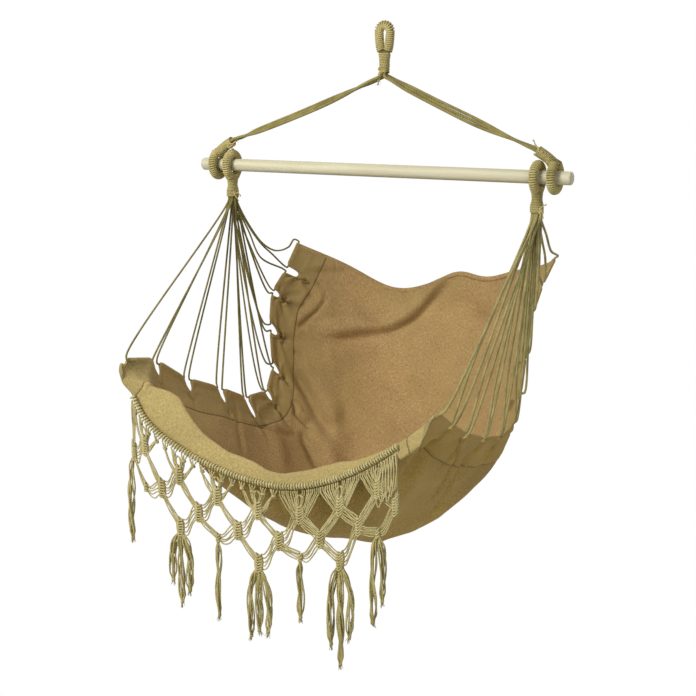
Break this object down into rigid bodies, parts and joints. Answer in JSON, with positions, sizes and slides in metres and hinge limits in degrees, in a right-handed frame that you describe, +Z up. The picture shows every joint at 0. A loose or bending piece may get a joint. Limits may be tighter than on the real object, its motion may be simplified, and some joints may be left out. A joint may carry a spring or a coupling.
{
  "type": "hammock chair",
  "caption": "Hanging hammock chair: canvas sling seat with tabbed sides and knotted fringe, carried by cord fans on a wooden spreader bar under a rope hanging loop.",
  "frame": {"origin": "the place in the hanging loop where a hook bears, at rest", "axes": "+Z up, +X along the spreader bar to the right seen from the front, -Y towards the seat's front"},
  "size_m": [0.9, 0.771, 1.2951],
  "materials": {
    "cotton_cord": "khaki cotton cord",
    "canvas": "khaki cotton canvas",
    "pale_wood": "pale unfinished wood"
  },
  "bodies": {
    "hanger": {"hanging_loop_core": "cotton_cord", "hanging_loop_winding": "cotton_cord"},
    "bridle": {"hanging_loop_whipping": "cotton_cord", "upper_eye_left_core": "cotton_cord", "upper_eye_left_winding": "cotton_cord", "upper_eye_left_whipping": "cotton_cord", "upper_eye_right_core": "cotton_cord", "upper_eye_right_winding": "cotton_cord", "upper_eye_right_whipping": "cotton_cord", "suspension_cord_left_1": "cotton_cord", "suspension_cord_left_2": "cotton_cord", "suspension_cord_left_3": "cotton_cord", "suspension_cord_right_1": "cotton_cord", "suspension_cord_right_2": "cotton_cord", "suspension_cord_right_3": "cotton_cord"},
    "bar": {"spreader_bar": "pale_wood"},
    "seat": {"harness_eye_left_core": "cotton_cord", "harness_eye_left_winding": "cotton_cord", "harness_eye_left_whipping": "cotton_cord", "harness_eye_right_core": "cotton_cord", "harness_eye_right_winding": "cotton_cord", "harness_eye_right_whipping": "cotton_cord", "seat_cloth": "canvas", "fan_cord_left_1": "cotton_cord", "fan_cord_left_2": "cotton_cord", "fan_cord_left_3": "cotton_cord", "fan_cord_left_4": "cotton_cord", "fan_cord_left_5": "cotton_cord", "fan_cord_left_6": "cotton_cord", "fan_cord_left_7": "cotton_cord", "fan_cord_left_8": "cotton_cord", "fan_cord_left_9": "cotton_cord", "fan_cord_left_10": "cotton_cord", "fan_cord_right_1": "cotton_cord", "fan_cord_right_2": "cotton_cord", "fan_cord_right_3": "cotton_cord", "fan_cord_right_4": "cotton_cord", "fan_cord_right_5": "cotton_cord", "fan_cord_right_6": "cotton_cord", "fan_cord_right_7": "cotton_cord", "fan_cord_right_8": "cotton_cord", "fan_cord_right_9": "cotton_cord", "fan_cord_right_10": "cotton_cord", "fringe_header_cord": "cotton_cord", "fringe_net": "cotton_cord", "tassel_1": "cotton_cord", "tassel_2": "cotton_cord", "tassel_3": "cotton_cord", "tassel_4": "cotton_cord", "tassel_5": "cotton_cord", "tassel_6": "cotton_cord", "tassel_7": "cotton_cord", "tassel_8": "cotton_cord", "tassel_9": "cotton_cord", "tassel_10": "cotton_cord", "tassel_11": "cotton_cord", "tassel_12": "cotton_cord", "tassel_13": "cotton_cord", "tassel_14": "cotton_cord"}
  },
  "joints": [
    {"name": "swing", "type": "hinge", "parent": "hanger", "child": "bridle", "pos_m": [0, 0, -0.062], "axis": [1, 0, 0], "range_deg": [-20, 20]},
    {"name": "bar_turn", "type": "hinge", "parent": "bridle", "child": "bar", "pos_m": [-0.021, 0, -0.299], "axis": [1, 0, 0], "continuous": true},
    {"name": "seat_tilt", "type": "hinge", "parent": "bridle", "child": "seat", "pos_m": [-0.021, 0, -0.299], "axis": [1, 0, 0], "range_deg": [-20, 20]}
  ]
}
